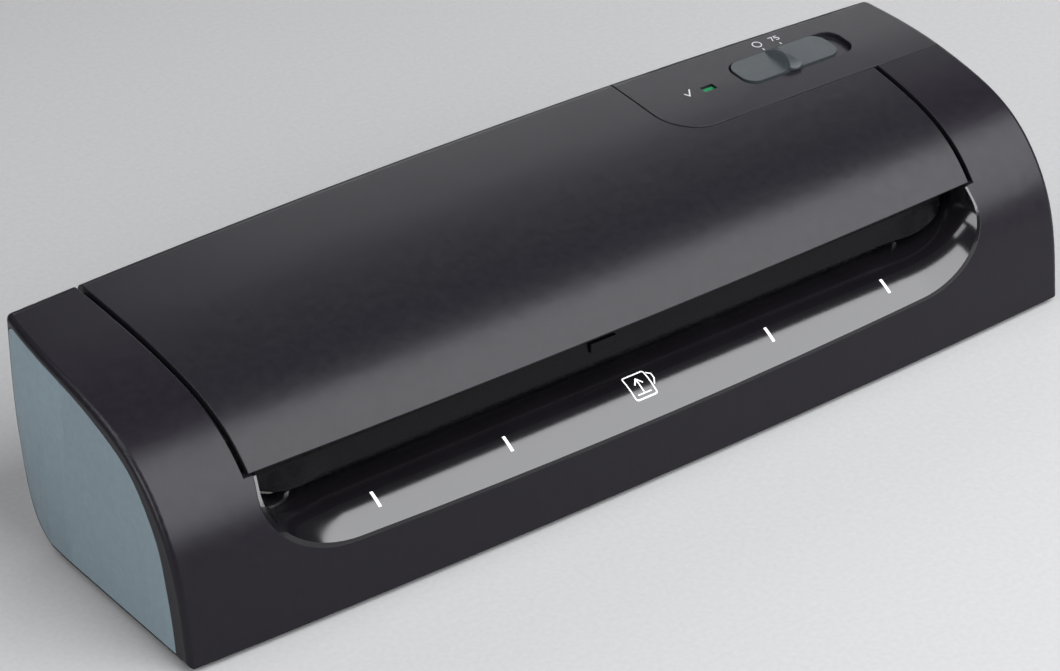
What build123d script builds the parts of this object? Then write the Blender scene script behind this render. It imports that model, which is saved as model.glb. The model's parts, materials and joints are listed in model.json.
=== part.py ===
from build123d import *
import os
from math import asin, atan, cos, hypot, pi, radians, sin, sqrt

# Pouch laminator, millimetres. +X is to the user's right along the machine, +Y from the entry side
# to the exit side, +Z up. The origin is under the middle of the machine, on the surface it stands on.
# Pouches go in at the front (-Y), pass between two heated plates and two rollers, and leave at +Y.

# ---------------------------------------------------------------- driving dimensions
HALF_LENGTH = 185.0        # half of the casing's length
FLOOR_Z = 2.0              # underside of the casing; the feet hold it this far up
WALL = 2.5                 # casing wall
BOW = 0.072                # plan bow of the front and back, as a share of y at mid length
CROWN = 0.025              # rise of the top at mid length, as a share of z
SEAM = 0.35                # gap at a parting line
EDGE_R = 0.3               # rounding of the visible edges along the seams
END_CURVE_Y = 15.0         # behind this y each end curves inward in plan
END_CURVE_R = 240.0
END_CORNER_R = 5.0         # upright rear corner of each end
END_REAR_Y = 54.0
END_EDGE_R = 2.0           # rounding of each end's outer edge
FACE_SPLIT_Z = 54.0        # between the middles of an end's front and rear profile edges
CORNER_TRIM = 0.75         # how far an inset outline stops short of the top rear corner, per mm of inset

# End profile of the casing, from the bottom front edge over the top to the back: (y, z)
FRONT_PROFILE = [(-53.4, 2.0), (-52.0, 14.0), (-49.5, 28.7), (-45.2, 41.2), (-38.3, 52.3),
                 (-29.1, 61.6), (-16.6, 68.6), (-0.6, 73.0), (19.4, 76.2), (49.6, 78.9)]
BACK_PROFILE = [(53.3, 75.0), (51.9, 58.0), (50.6, 41.7), (47.7, 27.0), (42.2, 11.2), (28.4, 2.0)]

# Outline of the grey end panel: (y, z) of its front and top edge
END_PANEL_EDGE = [(-45.6, 4.0), (-43.9, 17.0), (-41.6, 28.4), (-38.0, 40.8), (-33.4, 48.6),
                  (-25.5, 58.1), (-10.2, 66.0), (0.6, 69.4), (19.4, 73.2), (45.0, 75.9)]
END_PANEL_BACK = [(50.2, 73.4), (50.3, 57.0), (49.0, 41.5), (46.2, 27.5), (40.8, 12.6), (29.5, 4.0)]
END_PANEL_T = 1.6

# Pouch path
PATH_Z = 34.6              # height of the pouch's plane
ENTRY_HALF = 152.4         # half width of the mouth at the front face
COVER_FRONT_Z = 53.2       # height of the cover's front edge
EXIT_Z = (31.6, 38.0)      # height of the exit slot in the back
EXIT_HALF = 124.0

# Side grooves between the cover and the side strips: half distance at the front and at the back
COVER_HALF = (150.4, 154.2)
STRIP_HALF = (152.4, 156.2)
GROOVE_Y = (-60.0, 60.0)

# Control panel, at the right of the back
PANEL_X = 64.8
PANEL_Y = 15.0
PANEL_CORNER = 16.0
RECESS = (106.0, 156.2, 27.2, 42.6)       # slider recess: x, x, y, y
RECESS_DEPTH = 1.7
KNOB = (106.6, 149.4, 27.7, 42.1)         # slider plate at the off position
KNOB_RIB_X = 127.4
RIB_HALF = 4.6             # the finger rib across the plate: half width at its foot
RIB_BASE_Z = 78.6
RIB_HEIGHT = 3.4
RIB_OVERHANG = 1.0         # how far the rib's ends stand past the plate
RIB_CROWN_R = 12.5         # arch of the rib's top, seen from the side
SLIDE_TRAVEL = 6.4
LED_WINDOW = (89.8, 95.4, 32.6, 35.8)

# Chassis
FRAME_X = 128.0            # inner faces of the side frames
FRAME_T = 1.5
FRAME_Y = (-26.0, 36.0)
FRAME_TOP = 58.5
BASE_Z = (2.2, 4.7)        # base plate

# Rollers and gears
ROLLER_R = 9.9
ROLLER_HALF = 120.0
CORE_R = 6.0
JOURNAL_R = 4.0
LOWER_AXIS = (14.0, 24.6)  # (y, z)
UPPER_AXIS = (14.0, 44.6)
MODULE = 1.0
ROLLER_TEETH = 20
IDLER_TEETH = 16
PINION_TEETH = 18
GEAR_X = (-138.0, -132.0)
BACKLASH = 0.16
IDLER_PIN_R = 2.5
MOTOR_SHAFT_R = 3.0
MOTOR_R = 22.0
MOTOR_AXIS = (-0.9, 36.0)
BRACKET_X = (-142.5, -141.0)
MOTOR_BACK_X = -164.5

# Heater
PLATE_HALF = 122.0
PLATE_Y = (-22.0, 2.0)
PLATE_T = 3.0
PLATE_GAP = 2.0

# Control board
BOARD = (80.0, 172.0, 19.5, 45.5)
BOARD_Z = (62.0, 63.6)

PLAN_REACH = 90.0          # half size of the prisms that cut the casing in plan


# ---------------------------------------------------------------- helpers
def save(part, name):
    part.label = name
    export_step(part, f"parts/{name}.step")


def group(solids):
    return Compound(children=list(solids))


def around(middle, half):
    return (middle - half, middle + half)


def block(x, y, z):
    """A box between two limits on each axis."""
    size = (x[1] - x[0], y[1] - y[0], z[1] - z[0])
    middle = ((x[0] + x[1]) / 2, (y[0] + y[1]) / 2, (z[0] + z[1]) / 2)
    return Pos(*middle) * Box(*size)


def rod_x(radius, x, centre):
    """A cylinder along X between two x limits, at a (y, z) centre."""
    turned = Rot(0, 90, 0) * Cylinder(radius, x[1] - x[0])
    return Pos((x[0] + x[1]) / 2, centre[0], centre[1]) * turned


def rod_z(radius, z, centre):
    return Pos(centre[0], centre[1], (z[0] + z[1]) / 2) * Cylinder(radius, z[1] - z[0])


def ring_x(outer, inner, x, centre):
    return rod_x(outer, x, centre) - rod_x(inner, (x[0] - 1, x[1] + 1), centre)


def prism_yz(points, x):
    """A polygon of (y, z) points, extruded between two x limits."""
    face = make_face(Plane(origin=(x[0], 0, 0), x_dir=(0, 1, 0), z_dir=(1, 0, 0))
                     * Polyline(*points, close=True))
    return extrude(face, amount=x[1] - x[0], dir=(1, 0, 0))


def prism_xy(points, z):
    face = make_face(Plane.XY.offset(z[0]) * Polyline(*points, close=True))
    return extrude(face, amount=z[1] - z[0], dir=(0, 0, 1))


def rounded_prism(x, y, z, radius):
    """A block whose four vertical edges are rounded."""
    solid = block(x, y, z)
    return fillet(solid.edges().filter_by(Axis.Z), radius)


def inset_points(points, amount):
    """Each point of an open outline moved to its right-hand side by amount."""
    moved = []
    for i, (y, z) in enumerate(points):
        before = points[max(i - 1, 0)]
        after = points[min(i + 1, len(points) - 1)]
        dy = after[0] - before[0]
        dz = after[1] - before[1]
        size = hypot(dy, dz)
        moved.append((y + amount * dz / size, z - amount * dy / size))
    return moved


def casing_face(x, inset, floor_z):
    """The casing's section at x, moved inward by inset and cut off at floor_z."""
    share = 1 - (x / HALF_LENGTH) ** 2
    front = inset_points(FRONT_PROFILE, inset)
    back = inset_points(BACK_PROFILE, inset)
    front[0] = (front[0][0], floor_z)
    front[-1] = (front[-1][0] - CORNER_TRIM * inset, front[-1][1])
    back[0] = (back[0][0], back[0][1] - CORNER_TRIM * inset)
    back[-1] = (back[-1][0], floor_z)

    def swell(point):
        return (point[0] * (1 + BOW * share), point[1] + CROWN * share * (point[1] - FLOOR_Z))

    front = [swell(p) for p in front]
    back = [swell(p) for p in back]
    corner = ((front[-1][0] + back[0][0]) / 2 + 1.0, (front[-1][1] + back[0][1]) / 2 + 1.0)
    outline = [Spline(*front), ThreePointArc(front[-1], corner, back[0]), Spline(*back),
               Line(back[-1], front[0])]
    plane = Plane(origin=(x, 0, 0), x_dir=(0, 1, 0), z_dir=(1, 0, 0))
    return make_face([plane * edge for edge in outline])


def plan_prism(inset):
    """An upright prism with the casing's plan ends, which curve inward at the rear, moved inward by inset."""
    side_x = HALF_LENGTH - inset
    curve_x = HALF_LENGTH - END_CURVE_R
    corner_y = END_REAR_Y - END_CORNER_R
    reach = END_CURVE_R - END_CORNER_R
    corner_x = curve_x + sqrt(reach ** 2 - (corner_y - END_CURVE_Y) ** 2)
    turn = asin((corner_y - END_CURVE_Y) / reach)
    corner_r = max(END_CORNER_R - inset, 0.3)
    curve_r = END_CURVE_R - inset

    def on_curve(angle):
        return (curve_x + curve_r * cos(angle), END_CURVE_Y + curve_r * sin(angle))

    def on_corner(angle):
        return (corner_x + corner_r * cos(angle), corner_y + corner_r * sin(angle))

    outline = []
    for side in (-1, 1):
        def at(point):
            return (side * point[0], point[1])
        outline.append(Line(at((side_x, -PLAN_REACH)), at((side_x, END_CURVE_Y))))
        outline.append(ThreePointArc(at((side_x, END_CURVE_Y)), at(on_curve(turn / 2)), at(on_curve(turn))))
        if corner_r + inset > END_CORNER_R:
            outline.append(Line(at(on_curve(turn)), at(on_corner(turn))))
        half_way = (turn + pi / 2) / 2
        outline.append(ThreePointArc(at(on_corner(turn)), at(on_corner(half_way)), at(on_corner(pi / 2))))
        outline.append(Line(at(on_corner(pi / 2)), at((corner_x, PLAN_REACH))))
    outline.append(Line((-side_x, -PLAN_REACH), (side_x, -PLAN_REACH)))
    outline.append(Line((-corner_x, PLAN_REACH), (corner_x, PLAN_REACH)))
    base = Plane.XY.offset(-PLAN_REACH)
    return extrude(make_face([base * edge for edge in outline]), amount=3 * PLAN_REACH, dir=(0, 0, 1))


def casing_body(inset=0.0, floor_z=FLOOR_Z):
    """The solid inside the casing's outer surface, moved inward by inset."""
    end = HALF_LENGTH - max(inset, 0.0)
    body = loft([casing_face(x, inset, floor_z) for x in (-end, -end / 2, 0, end / 2, end)])
    return body & plan_prism(max(inset, 0.0))


def rounded_casing_body():
    """The casing's outer form with the edges of its ends rounded, but for the upright rear ones."""
    body = casing_body()
    edges = []
    for edge in body.edges():
        middle = edge.center()
        at_end = abs(middle.X) > HALF_LENGTH - END_CORNER_R and edge.length > 0.35
        low = middle.Z < FLOOR_Z + 1
        front = middle.Y < 0 and middle.Z > FACE_SPLIT_Z
        top = middle.Z > 70 and middle.Y < END_REAR_Y - 1
        if at_end and edge.geom_type != GeomType.LINE and (low or front or top):
            edges.append(edge)
    return fillet(edges, END_EDGE_R)


def soften(part, radius, wanted):
    """Rounds those of the part's edges that lie on the casing's outer surface and whose middle is wanted."""
    core = casing_body(0.3)
    edges = []
    for edge in part.edges():
        if edge.length > 3 and wanted(edge.center()) and not core.is_inside(edge.position_at(0.5)):
            edges.append(edge)
    return fillet(edges, radius)


def skin(outer, inner):
    """The shell between two insets of the casing's outer surface, open below."""
    return casing_body(outer) - casing_body(inner, FLOOR_Z - 1)


# ---------------------------------------------------------------- zones that split the shell
def trapezoid(half, z, y=GROOVE_Y):
    return prism_xy([(-half[0], y[0]), (half[0], y[0]), (half[1], y[1]), (-half[1], y[1])], z)


def panel_zone(grow):
    """The control panel's plan shape, from above the rear corner to beyond the right end."""
    x0 = PANEL_X - grow
    y0 = PANEL_Y - grow
    zone = block((x0, HALF_LENGTH + 5), (y0, 70.0), (61.0 - grow, 95.0))
    corner = zone.edges().filter_by(Axis.Z).sort_by(Axis.X)[:2].sort_by(Axis.Y)[0]
    return fillet(corner, PANEL_CORNER)


def cover_zone(half, grow):
    top = trapezoid(half, (COVER_FRONT_Z - grow, 95.0))
    rear = trapezoid(half, (EXIT_Z[1] + 0.1 - grow, 95.0)) & block((-200, 200), (30, 70), (0, 95))
    return top + rear


def rear_zone(half, grow):
    return trapezoid(half, (0.0, EXIT_Z[0] - 0.1 + grow)) & block((-200, 200), (28.4 - grow, 70), (0, 95))


def exit_slot():
    """The gap in the back that a pouch leaves by; ears of the casing close its two sides."""
    return block((-EXIT_HALF, EXIT_HALF), (30, 70), EXIT_Z)


# ---------------------------------------------------------------- mouth
MOUTH_SECTIONS = [          # y, half width, floor height, corner half width, corner height
    (-60.0, 153.6, 15.0, 35.0, 23.0),
    (-54.0, ENTRY_HALF + 0.2, 23.6, 34.0, 22.0),
    (-47.4, 151.2, 28.3, 31.0, 20.0),
    (-42.2, 149.6, 31.2, 28.0, 17.5),
    (-36.6, 148.2, 32.4, 25.0, 15.0),
    (-27.6, 147.0, 32.4, 23.0, 13.0),
]
MOUTH_TOP = 58.0
TRAY_T = 1.0


def mouth_face(section, grow):
    y, half, floor, corner_w, corner_h = section
    half = half + grow
    floor = floor - grow
    right = EllipticalCenterArc((half - corner_w, floor + corner_h), corner_w, corner_h, 270, arc_size=90)
    left = EllipticalCenterArc((-half + corner_w, floor + corner_h), corner_w, corner_h, 180, arc_size=90)
    outline = [Line((-half + corner_w, floor), (half - corner_w, floor)), right,
               Line((half, floor + corner_h), (half, MOUTH_TOP)), Line((half, MOUTH_TOP), (-half, MOUTH_TOP)),
               Line((-half, MOUTH_TOP), (-half, floor + corner_h)), left]
    plane = Plane(origin=(0, y, 0), x_dir=(1, 0, 0), z_dir=(0, -1, 0))
    return make_face([plane * edge for edge in outline])


def mouth_void(grow):
    return loft([mouth_face(section, grow) for section in MOUTH_SECTIONS])


# ---------------------------------------------------------------- casing parts
def end_panel_face(x, grow):
    edge = inset_points(END_PANEL_EDGE, -grow)
    back = inset_points(END_PANEL_BACK, -grow)
    edge[0] = (edge[0][0], END_PANEL_EDGE[0][1] - grow)
    back[-1] = (back[-1][0], END_PANEL_BACK[-1][1] - grow)
    middle = ((edge[-1][0] + back[0][0]) / 2 + 0.9, (edge[-1][1] + back[0][1]) / 2 + 0.7)
    outline = [Spline(*edge), ThreePointArc(edge[-1], middle, back[0]), Spline(*back),
               Line(back[-1], edge[0])]
    plane = Plane(origin=(x, 0, 0), x_dir=(0, 1, 0), z_dir=(1, 0, 0))
    return make_face([plane * e for e in outline])


def end_panel(side, grow=0.0, thickness=END_PANEL_T, proud=0.0):
    """The inlay of one end: the panel's outline, cut from the layer just inside the curved end."""
    depth = 14.0
    x = HALF_LENGTH - depth if side > 0 else -HALF_LENGTH - proud
    slab = extrude(end_panel_face(x, grow), amount=depth + proud, dir=(1, 0, 0))
    if proud == 0.0:
        slab = slab & plan_prism(0.0)
    return slab - plan_prism(thickness)


CASE_SCREWS = [(sx * 174.0, y) for sx in (-1, 1) for y in (-32.0, 4.0)]
BOSS_R = 4.0
SCREW_R = 1.5


def boss(centre, z0, limit):
    """A hollow screw boss from z0 up to the inside of the casing."""
    post = rod_z(BOSS_R, (z0, 90.0), centre) & limit
    return post - rod_z(SCREW_R, (z0 - 1, z0 + 12), centre)


def make_main_casing(shell, limit):
    casing = shell - cover_zone(STRIP_HALF, SEAM) - rear_zone(STRIP_HALF, SEAM) - exit_slot()
    casing = casing - panel_zone(SEAM) - mouth_void(TRAY_T + 0.05)
    ledge = skin(WALL + 0.4, WALL + 2.4)
    for side in (-1, 1):
        casing = casing - end_panel(side, SEAM, END_PANEL_T + 0.1, 1.0)
        near = (146.5, 160.0) if side > 0 else (-160.0, -146.5)
        strip = ledge & block(near, (-26.0, 60.0), (40.0, 90.0))
        hanger_x = (152.4, 160.0) if side > 0 else (-160.0, -152.4)
        hanger = skin(WALL - 0.2, WALL + 1.0) & block(hanger_x, (-26.0, 60.0), (40.0, 90.0))
        hanger = hanger - cover_zone(STRIP_HALF, SEAM) - panel_zone(SEAM)
        casing = casing + (strip - panel_zone(SEAM)) + hanger
    for centre in CASE_SCREWS:
        casing = casing + boss(centre, BASE_Z[1], limit)
    casing = casing - panel_zone(SEAM)
    return soften(casing, EDGE_R, lambda middle: abs(middle.X) < 157 and middle.Y < 40 and middle.Z > 20)


def make_top_cover(shell):
    cover = shell & cover_zone(COVER_HALF, 0)
    cover = cover - panel_zone(SEAM)
    return soften(cover, EDGE_R, lambda middle: middle.Z > COVER_FRONT_Z - 1 and middle.Y < 56)


def make_rear_panel(shell):
    panel = shell & rear_zone(COVER_HALF, 0)
    gland = Pos(*GLAND) * Rot(90, 0, 0) * Cylinder(GLAND_R, 30)
    return panel - gland


def recess_prism(bounds, z, radius):
    return rounded_prism((bounds[0], bounds[1]), (bounds[2], bounds[3]), z, radius)


BOARD_SCREWS = [(x, y) for x in (84.0, 168.0) for y in (23.0, 42.0)]


def make_control_panel(shell, limit):
    panel = shell & panel_zone(0)
    tray = skin(WALL - 0.1, RECESS_DEPTH + 1.6)
    tray = tray & block((RECESS[0] - 3, RECESS[1] + 3), (RECESS[2] - 3, RECESS[3] + 3), (60, 95))
    panel = panel + tray
    pocket = casing_body(-3.0) - casing_body(RECESS_DEPTH)
    panel = panel - (pocket & recess_prism(RECESS, (60.0, 95.0), 5.5))
    panel = soften(panel, EDGE_R, lambda middle: middle.Z > 75 and middle.X < 158 and middle.Y < 53)
    slot_x = (KNOB_RIB_X - 2.4, KNOB_RIB_X + 2.4 + SLIDE_TRAVEL)
    panel = panel - block(slot_x, (33.2, 37.0), (60.0, 90.0))
    panel = panel - block(LED_WINDOW[:2], LED_WINDOW[2:], (60.0, 95.0))
    panel = panel - end_panel(1, SEAM, END_PANEL_T + 0.1, 1.0)
    for centre in BOARD_SCREWS:
        post = rod_z(3.0, (BOARD_Z[1], 95.0), centre) & limit
        panel = panel + (post - rod_z(1.1, (BOARD_Z[1] - 1, BOARD_Z[1] + 8), centre))
    return panel


FOOT_PLACES = [(sx * 158.0, y) for sx in (-1, 1) for y in (-38.0, 16.0)]
FRAME_SCREWS = [(sx * 120.0, y) for sx in (-1, 1) for y in (-18.0, 22.0)]


def make_base_plate():
    plate = casing_body(WALL + 0.25, FLOOR_Z) & block((-200, 200), (-70, 70), BASE_Z)
    for centre in CASE_SCREWS:
        plate = plate - rod_z(SCREW_R + 0.3, (0, 10), centre) - rod_z(3.1, (0, BASE_Z[0] + 1.3), centre)
    for centre in FRAME_SCREWS:
        plate = plate - rod_z(SCREW_R, (0, 10), centre)
    for side in (-1, 1):
        for i in range(9):
            x = side * (30.0 + 9.0 * i)
            plate = plate - block((x - 1.5, x + 1.5), (-34.0, -6.0), (0, 10))
    return plate


def make_entry_tray(outer):
    bowl = mouth_void(TRAY_T) - mouth_void(0.0)
    bowl = bowl & outer
    return bowl & block((-200, 200), (-70.0, -27.8), (0.0, COVER_FRONT_Z - 0.6))


LIP_FLARE = [(112.0, -32.6, 37.3), (125.0, -33.5, 37.5), (137.5, -33.8, 38.8), (144.5, -31.2, 40.9)]


def lip_face(x, y, z):
    """Section of the upper guide at x, with its lower lip at (y, z)."""
    points = [(y, z), (y - 0.3, z + 1.0), (-31.6, 46.0), (-30.0, 50.2), (-28.0, 50.2),
              (-28.0, z + 0.6), (-29.0, z - 0.4)]
    plane = Plane(origin=(x, 0, 0), x_dir=(0, 1, 0), z_dir=(1, 0, 0))
    return make_face(plane * Polyline(*points, close=True))


def make_entry_lip():
    """The upper guide of the mouth: a straight lip whose two ends flare up."""
    first = LIP_FLARE[0]
    lip = loft([lip_face(-first[0], *first[1:]), lip_face(*first)])
    for side in (-1, 1):
        lip = lip + loft([lip_face(side * x, y, z) for x, y, z in LIP_FLARE])
    tab = block((-12.4, -1.6), (-33.2, -29.5), (42.2, 45.6))
    return lip + fillet(tab.edges().filter_by(Axis.Z), 0.6)


# ---------------------------------------------------------------- slider and lamp
def make_slider_knob():
    plate = (casing_body(-0.5) - casing_body(RECESS_DEPTH - 0.6)) & recess_prism(KNOB, (60.0, 95.0), 5.2)
    rib = []
    for i in range(17):
        t = -1 + i / 8
        rib.append((KNOB_RIB_X + RIB_HALF * t, RIB_BASE_Z + RIB_HEIGHT * (0.5 + 0.5 * cos(pi * t)) ** 1.3))
    foot = [(KNOB_RIB_X + RIB_HALF, RIB_BASE_Z - 1.7), (KNOB_RIB_X - RIB_HALF, RIB_BASE_Z - 1.7)]
    rib_y = (KNOB[2] - RIB_OVERHANG, KNOB[3] + RIB_OVERHANG)
    plane = Plane(origin=(0, rib_y[1], 0), x_dir=(1, 0, 0), z_dir=(0, -1, 0))
    outline = [Spline(*rib), Polyline(rib[-1], *foot, rib[0])]
    ridge = make_face([plane * edge for edge in outline])
    bump = extrude(ridge, amount=rib_y[1] - rib_y[0], dir=(0, -1, 0))
    bump = bump & rounded_prism(around(KNOB_RIB_X, RIB_HALF), rib_y, (60.0, 95.0), RIB_HALF - 0.2)
    crown_centre = ((rib_y[0] + rib_y[1]) / 2, RIB_BASE_Z + RIB_HEIGHT - RIB_CROWN_R)
    bump = bump & rod_x(RIB_CROWN_R, around(KNOB_RIB_X, RIB_HALF + 1), crown_centre)
    bump = bump - casing_body(-0.35)
    stem = block((KNOB_RIB_X - 2.0, KNOB_RIB_X + 2.0), (33.6, 36.6), (72.4, 79.0)) & casing_body(0.2)
    return plate + bump + stem


def make_switch_lever():
    x = KNOB_RIB_X
    return block((x - 2.6, x + 2.6), (33.8, 36.4), (67.6, 72.4))


def make_switch_body():
    x = (KNOB_RIB_X - 8.0, KNOB_RIB_X + 8.0 + SLIDE_TRAVEL)
    body = block(x, (29.6, 40.6), (BOARD_Z[1], 70.6))
    slot = block((KNOB_RIB_X - 3.0, KNOB_RIB_X + 3.0 + SLIDE_TRAVEL), (33.5, 36.7), (67.2, 80.0))
    return body - slot


def make_light_pipe():
    window = LED_WINDOW
    pipe = block((window[0] + 0.1, window[1] - 0.1), (window[2] + 0.1, window[3] - 0.1), (69.0, 90.0))
    pipe = pipe & casing_body(1.1)
    foot = block((window[0] - 1.2, window[1] + 1.2), (window[2] - 1.2, window[3] + 1.2), (69.0, 71.0))
    return pipe + foot


def make_status_led():
    centre = ((LED_WINDOW[0] + LED_WINDOW[1]) / 2, (LED_WINDOW[2] + LED_WINDOW[3]) / 2)
    body = rod_z(1.5, (BOARD_Z[1], 67.2), centre) + rod_z(1.9, (BOARD_Z[1], BOARD_Z[1] + 1.0), centre)
    return body + Pos(centre[0], centre[1], 67.2) * Sphere(1.5)


def make_control_board():
    board = block(BOARD[:2], BOARD[2:], BOARD_Z)
    for centre in BOARD_SCREWS:
        board = board - rod_z(1.4, (60, 66), centre)
    return board


def make_board_capacitors():
    box = block((144.0, 157.0), (24.0, 30.0), (BOARD_Z[1], 72.0))
    can = Pos(104.0, 25.0, BOARD_Z[1] + 4.0) * Rot(0, 90, 0) * Cylinder(4.0, 11.0)
    return group([fillet(box.edges().filter_by(Axis.Z), 0.8), can])


def make_board_connectors():
    plugs = []
    for x in (112.0, 160.0):
        body = block((x - 5.0, x + 5.0), (36.5, 42.5), (BOARD_Z[0] - 7.0, BOARD_Z[0]))
        plugs.append(fillet(body.edges().filter_by(Axis.Z), 0.5))
    return group(plugs)


# ---------------------------------------------------------------- chassis
STANDOFFS = [(-18.0, 12.0), (30.0, 9.6), (30.0, 55.0)]
TIE_RODS = [(-20.0, 52.5), (31.0, 47.0), (31.0, 17.0)]
BLOCK_HALF = 6.0           # half width of the upper bearing block in its slot
BLOCK_Z = (38.6, 50.6)
SPRING_TOP = 56.6


def frame_plate(side):
    x = (FRAME_X, FRAME_X + FRAME_T) if side > 0 else (-FRAME_X - FRAME_T, -FRAME_X)
    plate = block(x, FRAME_Y, (BASE_Z[1], FRAME_TOP))
    plate = fillet(plate.edges().filter_by(Axis.X).sort_by(Axis.Z)[-2:], 5.0)
    slot = block((x[0] - 1, x[1] + 1), (UPPER_AXIS[0] - BLOCK_HALF - 0.05, UPPER_AXIS[0] + BLOCK_HALF + 0.05),
                 (BLOCK_Z[0] - 0.1, SPRING_TOP))
    plate = plate - slot - rod_x(6.0, (x[0] - 1, x[1] + 1), LOWER_AXIS)
    flange_x = (FRAME_X - 12.0, FRAME_X + FRAME_T) if side > 0 else (-FRAME_X - FRAME_T, -FRAME_X + 12.0)
    flange = block(flange_x, FRAME_Y, (BASE_Z[1], BASE_Z[1] + FRAME_T))
    seat_x = (FRAME_X - 4.0, FRAME_X + 5.5) if side > 0 else (-FRAME_X - 5.5, -FRAME_X + 4.0)
    seat = block(seat_x, (UPPER_AXIS[0] - 5.0, UPPER_AXIS[0] + 5.0), (SPRING_TOP, SPRING_TOP + FRAME_T))
    plate = (plate + flange + seat) & casing_body(WALL + 0.5)
    for centre in FRAME_SCREWS:
        plate = plate - rod_z(SCREW_R + 0.2, (0, 10), centre)
    for centre in TIE_RODS:
        plate = plate - rod_x(1.6, (x[0] - 1, x[1] + 1), centre)
    return plate


def make_side_frame_left():
    plate = frame_plate(-1)
    for centre in STANDOFFS:
        plate = plate - rod_x(1.6, (-135, -120), centre)
    return plate - rod_x(IDLER_PIN_R, (-135, -120), idler_centre())


def make_tie_rods():
    return group([ring_x(3.0, 1.5, (-FRAME_X, FRAME_X), centre) for centre in TIE_RODS])


def make_motor_bracket():
    plate = block(BRACKET_X, (-23.0, 35.0), (7.0, 63.5))
    plate = fillet(plate.edges().filter_by(Axis.X), 4.0)
    plate = plate - rod_x(5.2, (-145, -138), pinion_centre())
    for centre in STANDOFFS:
        plate = plate - rod_x(1.5, (-145, -138), centre)
    for z in MOTOR_EAR_Z:
        plate = plate - rod_x(1.5, (-145, -138), (MOTOR_AXIS[0], z))
    return plate


def make_standoffs():
    return group([ring_x(3.0, 1.5, (BRACKET_X[1], -FRAME_X - FRAME_T), centre) for centre in STANDOFFS])


# ---------------------------------------------------------------- gears
def polar(centre, radius, degrees):
    return (centre[0] + radius * cos(radians(degrees)), centre[1] + radius * sin(radians(degrees)))


def centre_distance(a, b):
    return MODULE * (a + b) / 2


IDLER_ANGLE = 200.0        # direction from the lower roller to the idler
PINION_ANGLE = 125.0       # direction from the idler to the motor pinion


def idler_centre():
    return polar(LOWER_AXIS, centre_distance(ROLLER_TEETH, IDLER_TEETH), IDLER_ANGLE)


def pinion_centre():
    return polar(idler_centre(), centre_distance(IDLER_TEETH, PINION_TEETH), PINION_ANGLE)


def meshed_phase(phase, teeth, direction, mate_teeth):
    """Angle of a tooth of the mate that meshes at rest with a gear whose tooth stands at phase."""
    share = ((direction - phase) * teeth / 360.0) % 1.0
    return direction + 180.0 + (share + 0.5) * 360.0 / mate_teeth


def gear(teeth, centre, phase, bore, hub_r):
    """An involute spur gear in the YZ plane with one tooth at the angle phase."""
    pitch = MODULE * teeth / 2
    base = pitch * cos(radians(20))
    tip = pitch + 0.95 * MODULE
    root = pitch - 1.2 * MODULE
    half_pitch_angle = (pi * MODULE / 2 - BACKLASH) / 2 / pitch

    def spread(radius):
        t = sqrt(max((radius / base) ** 2 - 1, 0.0))
        return t - atan(t)

    flank = []
    for i in range(6):
        radius = max(base, root) + (tip - max(base, root)) * i / 5
        flank.append((radius, half_pitch_angle + spread(pitch) - spread(radius)))
    if root < base:
        flank.insert(0, (root, flank[0][1]))
    points = []
    for k in range(teeth):
        middle = radians(phase + 360.0 * k / teeth)
        points += [polar(centre, r, (middle - a) * 180 / pi) for r, a in flank]
        points += [polar(centre, r, (middle + a) * 180 / pi) for r, a in reversed(flank)]
    wheel = prism_yz(points, GEAR_X)
    groove = ring_x(root - 1.5, hub_r, (GEAR_X[0] - 1, GEAR_X[0] + 1.5), centre)
    return wheel - rod_x(bore, (GEAR_X[0] - 1, GEAR_X[1] + 1), centre) - groove


def gear_phases():
    lower = 90.0
    upper = meshed_phase(lower, ROLLER_TEETH, 90.0, ROLLER_TEETH)
    idler = meshed_phase(lower, ROLLER_TEETH, IDLER_ANGLE, IDLER_TEETH)
    pinion = meshed_phase(idler, IDLER_TEETH, PINION_ANGLE, PINION_TEETH)
    return lower, upper, idler, pinion


# ---------------------------------------------------------------- rollers
SHAFT_X = (-140.0, 133.0)
CLIP_X = ((-139.4, -138.4), (131.6, 132.6))


def make_shaft(axis):
    shaft = rod_x(JOURNAL_R, SHAFT_X, axis) + rod_x(CORE_R, (-122.0, 122.0), axis)
    return shaft - shaft_grooves(axis)


def shaft_grooves(axis):
    grooves = ring_x(6.0, 3.2, CLIP_X[0], axis)
    return grooves + ring_x(6.0, 3.2, CLIP_X[1], axis)


def make_clips(axis):
    clips = []
    for x in CLIP_X:
        clip = ring_x(6.2, 3.2, x, axis)
        mouth = block((x[0] - 1, x[1] + 1), (axis[0] - 2.2, axis[0] + 2.2), (axis[1] - 9, axis[1]))
        clips.append(clip - mouth)
    return group(clips)


def make_sleeve(axis):
    sleeve = ring_x(ROLLER_R, CORE_R, (-ROLLER_HALF, ROLLER_HALF), axis)
    return sleeve


def make_lower_bushes():
    bushes = []
    for side in (-1, 1):
        barrel = (-131.2, -126.4) if side < 0 else (126.4, 131.2)
        flange = (-127.9, -126.4) if side < 0 else (126.4, 127.9)
        bush = rod_x(6.0, barrel, LOWER_AXIS) + rod_x(7.5, flange, LOWER_AXIS)
        bushes.append(bush - rod_x(JOURNAL_R + 0.05, (barrel[0] - 1, barrel[1] + 1), LOWER_AXIS))
    return group(bushes)


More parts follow.
